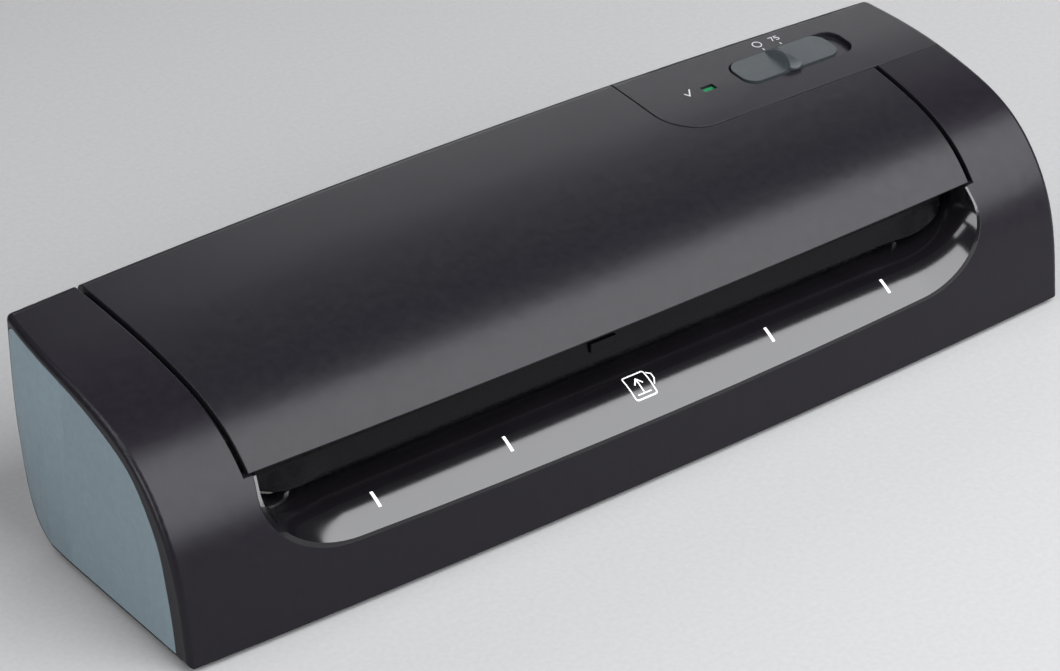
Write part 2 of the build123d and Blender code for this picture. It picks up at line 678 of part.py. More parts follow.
def make_bearing_blocks():
    """Blocks that carry the upper roller and slide up in the frames' slots."""
    blocks = []
    y = (UPPER_AXIS[0] - BLOCK_HALF, UPPER_AXIS[0] + BLOCK_HALF)
    wide = (y[0] - 2.0, y[1] + 2.0)
    for side in (-1, 1):
        def span(a, b):
            return (a, b) if side > 0 else (-b, -a)
        body = block(span(126.4, 131.2), y, BLOCK_Z)
        body = body + block(span(126.4, 127.9), wide, BLOCK_Z) + block(span(129.6, 131.2), wide, BLOCK_Z)
        bore_x = span(125.0, 133.0)
        blocks.append(body - rod_x(JOURNAL_R + 0.05, bore_x, UPPER_AXIS))
    return group(blocks)


SPRING_R = 2.3
WIRE_R = 0.5
SPRING_TURNS = 3


def make_pressure_springs():
    springs = []
    height = SPRING_TOP - BLOCK_Z[1] - 2 * WIRE_R - 0.1
    for side in (-1, 1):
        path = Helix(pitch=height / SPRING_TURNS, height=height, radius=SPRING_R)
        ring = Plane(origin=path @ 0, z_dir=path % 0) * Circle(WIRE_R)
        coil = sweep(ring, path=path)
        x = side * (FRAME_X + FRAME_T / 2)
        springs.append(Pos(x, UPPER_AXIS[0], BLOCK_Z[1] + WIRE_R + 0.05) * coil)
    return group(springs)


# ---------------------------------------------------------------- drive
MOTOR_EAR_Z = (10.5, 61.0)


def make_drive_motor():
    body = rod_x(MOTOR_R, (MOTOR_BACK_X, BRACKET_X[0]), MOTOR_AXIS)
    body = fillet(body.edges().filter_by(GeomType.CIRCLE).sort_by(Axis.X)[0], 2.0)
    ears = block((BRACKET_X[0] - 1.2, BRACKET_X[0]), (MOTOR_AXIS[0] - 5.0, MOTOR_AXIS[0] + 5.0), (7.5, 63.5))
    body = body + fillet(ears.edges().filter_by(Axis.X), 3.0)
    for z in MOTOR_EAR_Z:
        body = body - rod_x(1.7, (-150, -140), (MOTOR_AXIS[0], z))
    neck = ring_x(5.0, MOTOR_SHAFT_R + 0.06, (BRACKET_X[0], BRACKET_X[1] + 0.6), pinion_centre())
    hole = rod_x(MOTOR_SHAFT_R + 0.06, (BRACKET_X[0] - 12.0, BRACKET_X[0] + 1), pinion_centre())
    return body - hole + neck


def make_motor_shaft():
    return rod_x(MOTOR_SHAFT_R, (BRACKET_X[0] - 11.5, GEAR_X[1] + 1.0), pinion_centre())


def make_idler_pin():
    centre = idler_centre()
    pin = rod_x(IDLER_PIN_R, (-140.2, -FRAME_X), centre)
    collar = ring_x(4.5, IDLER_PIN_R - 0.5, (-131.6, -FRAME_X - FRAME_T), centre)
    return pin + collar - ring_x(4.0, 1.8, (-139.2, -138.2), centre)


def make_idler_clip():
    centre = idler_centre()
    clip = ring_x(4.2, 1.8, (-139.2, -138.2), centre)
    return clip - block((-140, -137), (centre[0] - 1.3, centre[0] + 1.3), (centre[1] - 6, centre[1]))


def screw_x(centre, head_x, tip_x, radius=SCREW_R):
    """A pan-head screw along X; head_x is its seat, and the head stands on the far side from the tip."""
    sign = 1 if head_x > tip_x else -1
    shank = rod_x(radius, (min(head_x, tip_x), max(head_x, tip_x)), centre)
    head = rod_x(radius * 1.9, (min(head_x, head_x + sign * 1.6), max(head_x, head_x + sign * 1.6)), centre)
    cross = (head_x + sign * 0.8, head_x + sign * 3.0)
    slot_x = (min(cross), max(cross))
    for wide, tall in ((0.35, 1.7), (1.7, 0.35)):
        head = head - block(slot_x, around(centre[0], wide), around(centre[1], tall))
    return shank + head


def screw_z(centre, head_z, tip_z, radius=SCREW_R, head_r=2.8, head_h=1.5):
    """A pan-head screw that points up, its head below head_z."""
    shank = rod_z(radius, (head_z, tip_z), centre)
    head = rod_z(head_r, (head_z - head_h, head_z), centre)
    for wide, tall in ((0.35, 1.8), (1.8, 0.35)):
        head = head - block((centre[0] - wide, centre[0] + wide), (centre[1] - tall, centre[1] + tall),
                            (head_z - head_h - 1, head_z - head_h * 0.45))
    return shank + head


def make_motor_screws():
    ears = [screw_x((MOTOR_AXIS[0], z), BRACKET_X[0] - 1.2, BRACKET_X[1] + 1.0) for z in MOTOR_EAR_Z]
    posts = [screw_x(centre, BRACKET_X[0], BRACKET_X[1] + 5.0) for centre in STANDOFFS]
    return group(ears + posts)


def make_case_screws():
    return group([screw_z(c, BASE_Z[0] + 1.3, BASE_Z[1] + 10.0, head_h=1.2) for c in CASE_SCREWS])


def make_frame_screws():
    screws = []
    for centre in FRAME_SCREWS:
        shank = rod_z(SCREW_R, (BASE_Z[0] + 0.2, BASE_Z[1] + FRAME_T), centre)
        top = BASE_Z[1] + FRAME_T
        head = rod_z(2.8, (top, top + 1.6), centre)
        cross = block((centre[0] - 0.35, centre[0] + 0.35), (centre[1] - 1.8, centre[1] + 1.8),
                      (top + 0.8, top + 3))
        screws.append(shank + head - cross)
    for centre in TIE_RODS:
        screws.append(screw_x(centre, FRAME_X + FRAME_T, FRAME_X - 6.0))
        screws.append(screw_x(centre, -FRAME_X - FRAME_T, -FRAME_X + 6.0))
    return group(screws)


def make_board_screws():
    return group([screw_z(c, BOARD_Z[0], BOARD_Z[1] + 6.0, 1.1, 2.2, 1.3) for c in BOARD_SCREWS])


# ---------------------------------------------------------------- heater
def heater_stack(level):
    """Offsets from the pouch's plane, below it for level -1 and above it for level 1."""
    def band(a, b):
        lo = PATH_Z + level * a
        hi = PATH_Z + level * b
        return (min(lo, hi), max(lo, hi))
    return band


def make_heater_plate(level):
    band = heater_stack(level)
    inner = PLATE_GAP / 2
    plate = block((-PLATE_HALF, PLATE_HALF), PLATE_Y, band(inner, inner + PLATE_T))
    edges = plate.edges().filter_by(Axis.X)
    near = edges.sort_by(lambda e: abs(e.center().Z - PATH_Z))[:2]
    plate = chamfer(near.sort_by(Axis.Y)[0], 1.8)
    return plate


def make_heater_element(level):
    band = heater_stack(level)
    return block((-114.0, 114.0), (PLATE_Y[0] + 2, PLATE_Y[1] - 2), band(4.0, 5.0))


def make_heater_insulation(level):
    band = heater_stack(level)
    return block((-112.0, 112.0), (PLATE_Y[0] + 4, PLATE_Y[1] - 4), band(5.0, 9.4))


def make_heater_channel(level):
    band = heater_stack(level)
    channel = block((-FRAME_X, FRAME_X), (PLATE_Y[0] + 0.6, PLATE_Y[1] - 0.6), band(9.4, 10.6))
    for y in (PLATE_Y[0] + 0.6, PLATE_Y[1] - 1.8):
        channel = channel + block((-FRAME_X, FRAME_X), (y, y + 1.2), band(4.0, 10.6))
    return channel


def make_thermostat():
    z = PATH_Z + 10.6
    body = rod_z(8.0, (z, z + 5.5), (34.0, -8.0))
    cap = rod_z(6.5, (z + 5.5, z + 7.5), (34.0, -8.0))
    tabs = block((22.0, 46.0), (-10.0, -6.0), (z + 4.0, z + 4.8))
    return body + cap + tabs


def make_thermal_fuse():
    z = PATH_Z + 10.6
    body = rod_x(2.0, (-40.0, -28.0), (-10.0, z + 2.0))
    return body + rod_x(0.5, (-50.0, -18.0), (-10.0, z + 2.0))


# ---------------------------------------------------------------- exit, gland, feet
GLAND = (140.0, 46.0, 21.0)
GLAND_R = 7.0
GLAND_BORE = 3.6


def make_exit_guide(level):
    band = heater_stack(level)
    plate = block((-EXIT_HALF + 0.5, EXIT_HALF - 0.5), (27.0, 46.0), band(2.4, 3.9))
    leading = plate.edges().filter_by(Axis.X).sort_by(Axis.Y)[:2]
    near = leading.sort_by(lambda e: abs(e.center().Z - PATH_Z))[0]
    plate = chamfer(near, 1.0)
    for i in range(7):
        x = -108.0 + 36.0 * i
        plate = plate + block((x - 0.8, x + 0.8), (29.0, 46.0), band(3.9, 7.0))
    return plate


def make_cord_gland():
    turn = Rot(-90, 0, 0)
    length = 16.0
    body = Cylinder(GLAND_R, length) + Pos(0, 0, -length / 2 + 1.0) * Cylinder(GLAND_R + 2.0, 2.0)
    body = fillet(body.faces().sort_by(Axis.Z)[-1].outer_wire().edges(), 1.5)
    return Pos(GLAND[0], GLAND[1] - 1.0, GLAND[2]) * turn * (body - Cylinder(GLAND_BORE, 40))


def make_terminal_block():
    body = block((139.0, 163.0), (8.0, 20.0), (BASE_Z[1], 17.0))
    body = fillet(body.edges().filter_by(Axis.Z), 1.0)
    for i in range(3):
        x = 143.5 + 7.5 * i
        body = body - rod_z(2.0, (12.0, 20.0), (x, 14.0))
    return body


def make_feet():
    feet = []
    for centre in FOOT_PLACES:
        foot = rod_z(8.0, (0.0, BASE_Z[0]), centre)
        feet.append(fillet(foot.edges().filter_by(GeomType.CIRCLE).sort_by(Axis.Z)[0], 0.8))
    return group(feet)


# ---------------------------------------------------------------- wiring held inside
def wire(points, radius, bend):
    path = FilletPolyline(*points, radius=bend)
    ring = Plane(origin=path @ 0, z_dir=path % 0) * Circle(radius)
    return sweep(ring, path=path)


def make_motor_leads():
    leads = []
    for i in range(2):
        motor_y = 4.0 + 3.0 * i
        y = 40.0 + 2.6 * i
        run_z = 56.0 + i
        plug_x = 110.0 + i
        route = [(-155.0, motor_y, MOTOR_AXIS[1] + MOTOR_R), (-155.0, motor_y, 64.0), (-155.0, y, 64.0),
                 (-140.0, y, run_z), (90.0, y, run_z), (plug_x, y, 52.0), (plug_x, y, 55.0)]
        leads.append(wire(route, 0.9, 1.4))
    return group(leads)


def main():
    os.makedirs("parts", exist_ok=True)
    outer = rounded_casing_body()
    shell = outer - casing_body(WALL, FLOOR_Z - 1)
    limit = casing_body(WALL - 0.5)
    save(make_main_casing(shell, limit), "main_casing")
    save(make_top_cover(shell), "top_cover")
    save(make_rear_panel(shell), "rear_panel")
    save(make_control_panel(shell, limit), "control_panel")
    save(make_base_plate(), "base_plate")
    save(end_panel(-1), "end_panel_left")
    save(end_panel(1), "end_panel_right")
    save(make_entry_tray(outer), "entry_tray")
    save(make_entry_lip(), "entry_lip")
    save(make_slider_knob(), "slider_knob")
    save(make_switch_lever(), "switch_lever")
    save(make_switch_body(), "switch_body")
    save(make_light_pipe(), "light_pipe")
    save(make_status_led(), "status_led")
    save(make_control_board(), "control_board")
    save(make_board_capacitors(), "board_capacitors")
    save(make_board_connectors(), "board_connectors")
    save(make_side_frame_left(), "side_frame_left")
    save(frame_plate(1), "side_frame_right")
    save(make_tie_rods(), "tie_rods")
    save(make_motor_bracket(), "motor_bracket")
    save(make_standoffs(), "motor_standoffs")
    lower, upper, idler, pinion = gear_phases()
    save(gear(ROLLER_TEETH, LOWER_AXIS, lower, JOURNAL_R, 6.5), "lower_roller_gear")
    save(gear(ROLLER_TEETH, UPPER_AXIS, upper, JOURNAL_R, 6.5), "upper_roller_gear")
    save(gear(IDLER_TEETH, idler_centre(), idler, IDLER_PIN_R + 0.05, 4.6), "idler_gear")
    save(gear(PINION_TEETH, pinion_centre(), pinion, MOTOR_SHAFT_R, 5.4), "motor_pinion")
    for name, axis in (("lower", LOWER_AXIS), ("upper", UPPER_AXIS)):
        save(make_shaft(axis), f"{name}_roller_shaft")
        save(make_sleeve(axis), f"{name}_roller_sleeve")
        save(make_clips(axis), f"{name}_roller_clips")
    save(make_lower_bushes(), "lower_bushes")
    save(make_bearing_blocks(), "upper_bearing_blocks")
    save(make_pressure_springs(), "pressure_springs")
    save(make_drive_motor(), "drive_motor")
    save(make_motor_shaft(), "motor_shaft")
    save(make_idler_pin(), "idler_pin")
    save(make_idler_clip(), "idler_clip")
    save(make_motor_screws(), "motor_screws")
    save(make_case_screws(), "case_screws")
    save(make_frame_screws(), "frame_screws")
    save(make_board_screws(), "board_screws")
    for name, level in (("lower", -1), ("upper", 1)):
        save(make_heater_plate(level), f"{name}_heater_plate")
        save(make_heater_element(level), f"{name}_heater_element")
        save(make_heater_insulation(level), f"{name}_heater_insulation")
        save(make_heater_channel(level), f"{name}_heater_channel")
        save(make_exit_guide(level), f"{name}_exit_guide")
    save(make_thermostat(), "thermostat")
    save(make_thermal_fuse(), "thermal_fuse")
    save(make_cord_gland(), "cord_gland")
    save(make_terminal_block(), "terminal_block")
    save(make_feet(), "rubber_feet")
    save(make_motor_leads(), "motor_leads")


main()
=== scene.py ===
import json
import math
from bisect import bisect

import bmesh
import bpy
import numpy as np
from mathutils import Matrix, Vector
from mathutils.bvhtree import BVHTree


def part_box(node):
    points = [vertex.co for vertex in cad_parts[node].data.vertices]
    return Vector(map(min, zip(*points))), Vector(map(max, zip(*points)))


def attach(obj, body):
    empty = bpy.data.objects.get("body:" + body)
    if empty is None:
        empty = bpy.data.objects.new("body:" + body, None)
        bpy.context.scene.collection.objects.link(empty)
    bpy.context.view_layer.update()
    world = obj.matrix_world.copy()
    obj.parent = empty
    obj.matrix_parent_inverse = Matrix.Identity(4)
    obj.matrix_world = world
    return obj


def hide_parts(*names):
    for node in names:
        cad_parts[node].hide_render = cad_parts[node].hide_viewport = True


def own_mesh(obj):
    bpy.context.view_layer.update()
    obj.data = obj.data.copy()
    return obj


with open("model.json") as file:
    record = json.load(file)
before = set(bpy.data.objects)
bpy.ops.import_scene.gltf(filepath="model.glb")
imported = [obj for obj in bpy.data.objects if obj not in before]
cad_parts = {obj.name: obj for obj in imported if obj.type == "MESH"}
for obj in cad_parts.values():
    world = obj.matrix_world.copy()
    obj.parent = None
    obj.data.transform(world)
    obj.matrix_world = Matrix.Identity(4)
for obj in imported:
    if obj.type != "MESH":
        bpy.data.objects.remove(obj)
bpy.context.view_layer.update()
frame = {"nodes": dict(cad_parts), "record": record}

MM = 0.001


def add_object(name, data):
    piece = bpy.data.objects.new(name, data)
    bpy.context.scene.collection.objects.link(piece)
    return piece


# ---------------------------------------------------------------- camera
CAMERA_AT = Vector((-0.6729, -0.8668, 0.7077))
CAMERA_TURN = math.radians(37.31)      # from +Y towards +X
CAMERA_DROP = math.radians(31.77)      # below the horizon
LEVEL = math.cos(CAMERA_DROP)
LOOK = Vector((math.sin(CAMERA_TURN) * LEVEL, math.cos(CAMERA_TURN) * LEVEL, -math.sin(CAMERA_DROP)))
FOCAL_SHARE = 3799.57 / 1060           # focal length over frame width
SENSOR = 36.0


def add_camera():
    data = bpy.data.cameras.new("camera")
    data.sensor_fit = "HORIZONTAL"
    data.sensor_width = SENSOR
    data.lens = SENSOR * FOCAL_SHARE
    camera = add_object("camera", data)
    camera.location = CAMERA_AT
    camera.rotation_euler = LOOK.to_track_quat("-Z", "Y").to_euler()
    bpy.context.scene.camera = camera


# ---------------------------------------------------------------- materials
class Nodes:
    """A material's node tree, built one node at a time."""

    def __init__(self, name):
        self.material = bpy.data.materials.new(name)
        self.material.use_nodes = True
        self.tree = self.material.node_tree
        self.shader = self.tree.nodes["Principled BSDF"]
        self.place = self.add("ShaderNodeTexCoord").outputs["Object"]

    def add(self, kind, **inputs):
        node = self.tree.nodes.new(kind)
        for key, value in inputs.items():
            node.inputs[key.replace("_", " ")].default_value = value
        return node

    def link(self, source, target):
        self.tree.links.new(source, target)

    def noise(self, scale, detail=3.0, roughness=0.55, stretch=None):
        node = self.add("ShaderNodeTexNoise", Scale=scale, Detail=detail, Roughness=roughness)
        if stretch is None:
            self.link(self.place, node.inputs["Vector"])
        else:
            mapping = self.add("ShaderNodeMapping", Scale=stretch)
            self.link(self.place, mapping.inputs["Vector"])
            self.link(mapping.outputs["Vector"], node.inputs["Vector"])
        return node.outputs["Fac"]

    def remap(self, value, low, high, start=0.3, stop=0.7):
        node = self.add("ShaderNodeMapRange")
        node.inputs["From Min"].default_value = start
        node.inputs["From Max"].default_value = stop
        node.inputs["To Min"].default_value = low
        node.inputs["To Max"].default_value = high
        self.link(value, node.inputs["Value"])
        return node.outputs["Result"]

    def blend_colours(self, factor, first, second):
        node = self.tree.nodes.new("ShaderNodeMix")
        node.data_type = "RGBA"
        node.inputs["A"].default_value = (*first, 1)
        node.inputs["B"].default_value = (*second, 1)
        self.link(factor, node.inputs["Factor"])
        return node.outputs["Result"]

    def mottle(self, factor, first, second):
        """Base colour that wanders between two tones."""
        self.link(self.blend_colours(factor, first, second), self.shader.inputs["Base Color"])

    def gloss(self, factor, low, high, start=0.3, stop=0.7):
        """Roughness that wanders between two values."""
        self.link(self.remap(factor, low, high, start, stop), self.shader.inputs["Roughness"])

    def bump(self, height, strength, distance):
        node = self.add("ShaderNodeBump", Strength=strength, Distance=distance)
        self.link(height, node.inputs["Height"])
        self.link(node.outputs["Normal"], self.shader.inputs["Normal"])

    def set(self, **values):
        for key, value in values.items():
            self.shader.inputs[key.replace("_", " ")].default_value = value


def scaled(colour, factor):
    return tuple(min(1.0, c * factor) for c in colour)


def moulded_plastic(name, colour, roughness, grain=1500, depth=0.00004, strength=0.12, vary=0.1, spread=0.03,
                    specular=0.5):
    """Moulded plastic with a fine spark-eroded grain and slight changes of tone and gloss."""
    n = Nodes(name)
    fine = n.noise(grain, detail=2, roughness=0.6)
    tone = n.remap(n.noise(420, detail=4), 0, 1)
    n.mottle(tone, scaled(colour, 1 - vary), scaled(colour, 1 + vary))
    n.gloss(n.noise(260, detail=4), roughness - spread, roughness + spread)
    n.bump(fine, strength, depth)
    n.set(Specular_IOR_Level=specular)
    return n.material


def gloss_plastic(name, colour):
    """Polished black plastic with faint hairline wear."""
    polished = 0.13
    worn = 0.165
    n = Nodes(name)
    cloud = n.noise(22, detail=2)
    hairs = n.noise(900, detail=4, stretch=(0.04, 1, 1))
    n.mottle(n.remap(cloud, 0, 1), scaled(colour, 0.8), scaled(colour, 1.25))
    n.gloss(hairs, polished, worn, start=0.55, stop=0.8)
    n.bump(hairs, 0.01, 0.00001)
    n.set(Specular_IOR_Level=0.6)
    return n.material


def metal(name, colour, roughness, stretch=(1, 1, 1), grain=700, strength=0.08):
    """Bare or plated metal with a drawn grain along the stretched direction."""
    n = Nodes(name)
    lines = n.noise(grain, detail=4, stretch=stretch)
    patches = n.noise(35, detail=3)
    n.mottle(n.remap(patches, 0, 1), scaled(colour, 0.85), colour)
    n.gloss(lines, roughness - 0.06, roughness + 0.1)
    n.bump(lines, strength, 0.00003)
    n.set(Metallic=1.0)
    return n.material


def felt(name, colour):
    n = Nodes(name)
    fibres = n.noise(1100, detail=6, roughness=0.7, stretch=(0.4, 1, 1))
    n.mottle(n.remap(fibres, 0, 1), scaled(colour, 0.7), scaled(colour, 1.15))
    n.bump(fibres, 0.5, 0.0004)
    n.set(Roughness=0.95, Sheen_Weight=0.3, Sheen_Roughness=0.6)
    return n.material


def soft_rubber(name, colour, roughness, strength=0.15):
    n = Nodes(name)
    speck = n.noise(1300, detail=3)
    n.mottle(n.remap(speck, 0, 1), scaled(colour, 0.85), scaled(colour, 1.1))
    n.gloss(n.noise(80), roughness - 0.06, roughness + 0.06)
    n.bump(speck, strength, 0.00005)
    n.set(Specular_IOR_Level=0.4)
    return n.material


def lamp_lens(name, colour):
    """Clear green lens over a lamp that is off or only faintly lit."""
    n = Nodes(name)
    cells = n.noise(900, detail=2)
    n.mottle(n.remap(cells, 0, 1), scaled(colour, 0.7), scaled(colour, 1.3))
    n.bump(cells, 0.2, 0.00005)
    n.set(Roughness=0.22, Specular_IOR_Level=0.6)
    n.set(Emission_Color=(*scaled(colour, 0.9), 1), Emission_Strength=0.08)
    return n.material


def board(name, colour):
    """Green solder mask with copper tracks under it."""
    n = Nodes(name)
    tracks = n.add("ShaderNodeTexBrick", Scale=110, Mortar_Size=0.03)
    n.link(n.place, tracks.inputs["Vector"])
    n.mottle(tracks.outputs["Fac"], colour, scaled(colour, 1.9))
    n.bump(tracks.outputs["Fac"], 0.25, 0.00008)
    n.set(Roughness=0.32, Coat_Weight=0.3, Coat_Roughness=0.2)
    return n.material


def print_ink(name, colour):
    """Pad-printed ink, a little uneven."""
    n = Nodes(name)
    speck = n.noise(1800, detail=4)
    n.mottle(n.remap(speck, 0, 1), scaled(colour, 0.88), colour)
    n.gloss(n.noise(700), 0.45, 0.6)
    n.bump(speck, 0.2, 0.00002)
    return n.material


def finishes():
    """One material for each slot of the record."""
    return {
        "casing_black": moulded_plastic("casing satin black", (0.0080, 0.0070, 0.0095), 0.32, specular=0.20),
        "cover_black": moulded_plastic("cover satin black", (0.0086, 0.0080, 0.0102), 0.32, specular=0.21),
        # the lip under the cover's edge: the casing's black made darker, painted shade where the cover
        # overhangs it
        "lip_satin": moulded_plastic("lip black with painted shade", (0.0025, 0.0022, 0.0030), 0.28, specular=0.16),
        "base_black": moulded_plastic("base matt black", (0.017, 0.017, 0.018), 0.55, strength=0.3),
        "panel_grey": moulded_plastic("end panel blue grey", (0.150, 0.198, 0.222), 0.48, vary=0.06),
        "tray_gloss": gloss_plastic("tray gloss black", (0.0045, 0.004, 0.005)),
        "knob_grey": moulded_plastic("slider grey", (0.026, 0.032, 0.034), 0.42, vary=0.06, specular=0.35),
        "switch_black": moulded_plastic("switch black", (0.02, 0.02, 0.02), 0.4),
        "lamp_green": lamp_lens("lamp lens green", (0.010, 0.16, 0.055)),
        "board_green": board("circuit board", (0.012, 0.09, 0.035)),
        "component_blue": moulded_plastic("component sleeve", (0.03, 0.06, 0.18), 0.4),
        "connector_white": moulded_plastic("connector nylon", (0.62, 0.60, 0.54), 0.5),
        "frame_steel": metal("frame zinc steel", (0.62, 0.62, 0.60), 0.38, stretch=(1, 0.06, 1)),
        "shaft_steel": metal("ground steel", (0.70, 0.70, 0.70), 0.2, stretch=(1, 0.05, 0.05)),
        "clip_steel": metal("clip steel", (0.35, 0.35, 0.37), 0.4),
        "spring_steel": metal("spring steel", (0.48, 0.48, 0.50), 0.3),
        "screw_zinc": metal("screw zinc", (0.68, 0.67, 0.62), 0.28),
        "bush_brass": metal("sintered bronze", (0.60, 0.42, 0.18), 0.42),
        "block_black": moulded_plastic("bearing block", (0.02, 0.02, 0.022), 0.5),
        "gear_white": moulded_plastic("gear acetal", (0.66, 0.65, 0.60), 0.42, vary=0.04),
        "silicone": soft_rubber("roller silicone", (0.36, 0.09, 0.05), 0.5),
        "motor_zinc": metal("motor can", (0.58, 0.58, 0.57), 0.34, stretch=(1, 0.05, 1)),
        "heater_aluminium": metal("heater aluminium", (0.75, 0.76, 0.77), 0.3, stretch=(0.05, 1, 1)),
        "heater_film": moulded_plastic("heater film", (0.34, 0.14, 0.03), 0.3),
        "insulation_felt": felt("insulation felt", (0.62, 0.60, 0.54)),
        "thermostat_ceramic": moulded_plastic("thermostat ceramic", (0.50, 0.47, 0.40), 0.55),
        "feet_rubber": soft_rubber("feet rubber", (0.016, 0.016, 0.017), 0.72, 0.3),
        "lead_red": soft_rubber("lead insulation", (0.42, 0.02, 0.015), 0.42, 0.08),
    }


def finish_cad_nodes(materials):
    """Gives each CAD node the material of its slot in the record."""
    for entry in frame["record"]["subparts"]:
        node = frame["nodes"][entry["node"]]
        node.data.materials.clear()
        node.data.materials.append(materials[entry["material_slot"]])


# ---------------------------------------------------------------- edges
BEVELLED = {"end_panel_left": 0.25, "end_panel_right": 0.25, "cord_gland": 0.3}        # edge radius in mm
SHARP_ANGLE = math.radians(42)
SAME_POINT = 0.002 * MM


def round_edges():
    """Gives the inlays and the gland the small edge radius that catches light."""
    for name, radius in BEVELLED.items():
        node = frame["nodes"][name]
        weld = node.modifiers.new("weld", "WELD")
        weld.merge_threshold = SAME_POINT
        bevel = node.modifiers.new("edge radius", "BEVEL")
        bevel.width = radius * MM
        bevel.segments = 2
        bevel.limit_method = "ANGLE"
        bevel.angle_limit = SHARP_ANGLE
        bevel.use_clamp_overlap = True
        bevel.harden_normals = True


# ---------------------------------------------------------------- entry tray
# The bowl's sections in mm, front to back: y, half width, floor height, corner width and corner height
BOWL_Y = (-54.0, -47.4, -42.2, -36.6, -27.6)
BOWL_HALF = (152.6, 151.2, 149.6, 148.2, 147.0)
BOWL_FLOOR = (23.6, 28.3, 31.2, 32.4, 32.4)
BOWL_CORNER_W = (34.0, 31.0, 28.0, 25.0, 23.0)
BOWL_CORNER_H = (22.0, 20.0, 17.5, 15.0, 13.0)
SAME_SLOPE = 0.94                      # cosine of the angle up to which a face counts as part of the bowl


class NaturalCubic:
    """A smooth curve through the bowl's sections."""

    def __init__(self, values):
        count = len(BOWL_Y)
        gaps = np.diff(BOWL_Y)
        slopes = np.diff(values) / gaps
        rows = np.eye(count)
        right = np.zeros(count)
        for i in range(1, count - 1):
            rows[i, i - 1:i + 2] = (gaps[i - 1], 2 * (gaps[i - 1] + gaps[i]), gaps[i])
            right[i] = 6 * (slopes[i] - slopes[i - 1])
        self.values = values
        self.bends = np.linalg.solve(rows, right)

    def at(self, y):
        i = min(max(bisect(BOWL_Y, y) - 1, 0), len(BOWL_Y) - 2)
        gap = BOWL_Y[i + 1] - BOWL_Y[i]
        after = (y - BOWL_Y[i]) / gap
        before = 1 - after
        curve = (before ** 3 - before) * self.bends[i] + (after ** 3 - after) * self.bends[i + 1]
        return before * self.values[i] + after * self.values[i + 1] + curve * gap ** 2 / 6


BOWL = [NaturalCubic(values) for values in (BOWL_HALF, BOWL_FLOOR, BOWL_CORNER_W, BOWL_CORNER_H)]


def bowl_depth(x, y, z):
    """Grows away from the bowl's surface into the open mouth. Millimetres."""
    half, floor, corner_w, corner_h = (curve.at(y) for curve in BOWL)
    beside = abs(x) - (half - corner_w)
    if beside <= 0:
        return z - floor
    if z >= floor + corner_h:
        return half - abs(x)
    return corner_h * (1 - math.hypot(beside / corner_w, (z - floor) / corner_h - 1))


def bowl_normal(point):
    """The bowl's exact slope at a point in millimetres."""
    step = 0.05
    slope = []
    for i in range(3):
        ahead = list(point)
        behind = list(point)
        ahead[i] += step
        behind[i] -= step
        slope.append(bowl_depth(*ahead) - bowl_depth(*behind))
    return Vector(slope).normalized()


def add_tray(material):
    """The entry tray with a finer bowl, shaded by its exact slope, so that its gloss shows no ripples."""
    def in_bowl(exact, normal):
        return exact.dot(normal) > SAME_SLOPE

    bm = bmesh.new()
    bm.from_mesh(frame["nodes"]["entry_tray"].data)
    edges = set()
    for face in bm.faces:
        if in_bowl(bowl_normal(face.calc_center_median() / MM), face.normal):
            edges.update(face.edges)
    bmesh.ops.subdivide_edges(bm, edges=list(edges), cuts=2, use_grid_fill=True)
    mesh = bpy.data.meshes.new("glossy_tray")
    bm.to_mesh(mesh)
    bm.free()
    exact = [bowl_normal(vertex.co / MM) for vertex in mesh.vertices]
    normals = []
    for polygon in mesh.polygons:
        flat = polygon.normal.copy()
        normals += [exact[i] if in_bowl(exact[i], flat) else flat for i in polygon.vertices]
    mesh.normals_split_custom_set(normals)
    mesh.materials.append(material)
    tray = add_object("glossy_tray", mesh)
    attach(tray, "housing")
    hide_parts("entry_tray")


# ---------------------------------------------------------------- pressure springs
def add_springs(material):
    """The pressure springs, as a copy of their CAD mesh attached to the housing."""
    mesh = frame["nodes"]["pressure_springs"].data.copy()
    mesh.materials.clear()
    mesh.materials.append(material)
    springs = add_object("preloaded_springs", mesh)
    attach(springs, "housing")
    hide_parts("pressure_springs")
    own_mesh(springs)


# ---------------------------------------------------------------- printed marks
class Surface:
    """Finds the top of a CAD node straight below a point, so that print lies on it."""

    def __init__(self, name):
        mesh = frame["nodes"][name].data
        self.tree = BVHTree.FromPolygons([v.co for v in mesh.vertices], [p.vertices for p in mesh.polygons])

    def at(self, x, y):
        above_machine = 0.2
        hit, normal, _, _ = self.tree.ray_cast(Vector((x, y, above_machine)), Vector((0, 0, -1)))
        return hit, normal


PRINT_LIFT = 0.05 * MM                 # top of the ink over the plastic
PRINT_ROOT = 0.05 * MM                 # how deep the ink's underside sits
PRINT_STEP = 0.5 * MM                  # longest run of a stroke that isn't split


def resampled(path, step, closed):
    """The path's points with extra points so that no run is longer than step."""
    ends = path[1:] + path[:1] if closed else path[1:]
    points = []
    for (x0, y0), (x1, y1) in zip(path, ends):
        runs = max(1, math.ceil(math.hypot(x1 - x0, y1 - y0) / step))
        points += [(x0 + (x1 - x0) * i / runs, y0 + (y1 - y0) * i / runs) for i in range(runs)]
    return points if closed else points + [path[-1]]


def stroke_sides(points, width, closed):
    """Left and right edge points of a stroke, mitred at its corners."""
    count = len(points)
    sides = []
    for i, (x, y) in enumerate(points):
        before = points[i - 1] if i or closed else points[i]
        after = points[(i + 1) % count] if i + 1 < count or closed else points[i]
        into = Vector((x - before[0], y - before[1]))
        out = Vector((after[0] - x, after[1] - y))
        into = into.normalized() if into.length else out.normalized()
        out = out.normalized() if out.length else into
        along = (into + out).normalized()
        mitre = 1 / max(0.5, along.dot(out))
        across = Vector((-along.y, along.x)) * (width / 2 * mitre)
        sides.append(((x + across.x, y + across.y), (x - across.x, y - across.y)))
    return sides


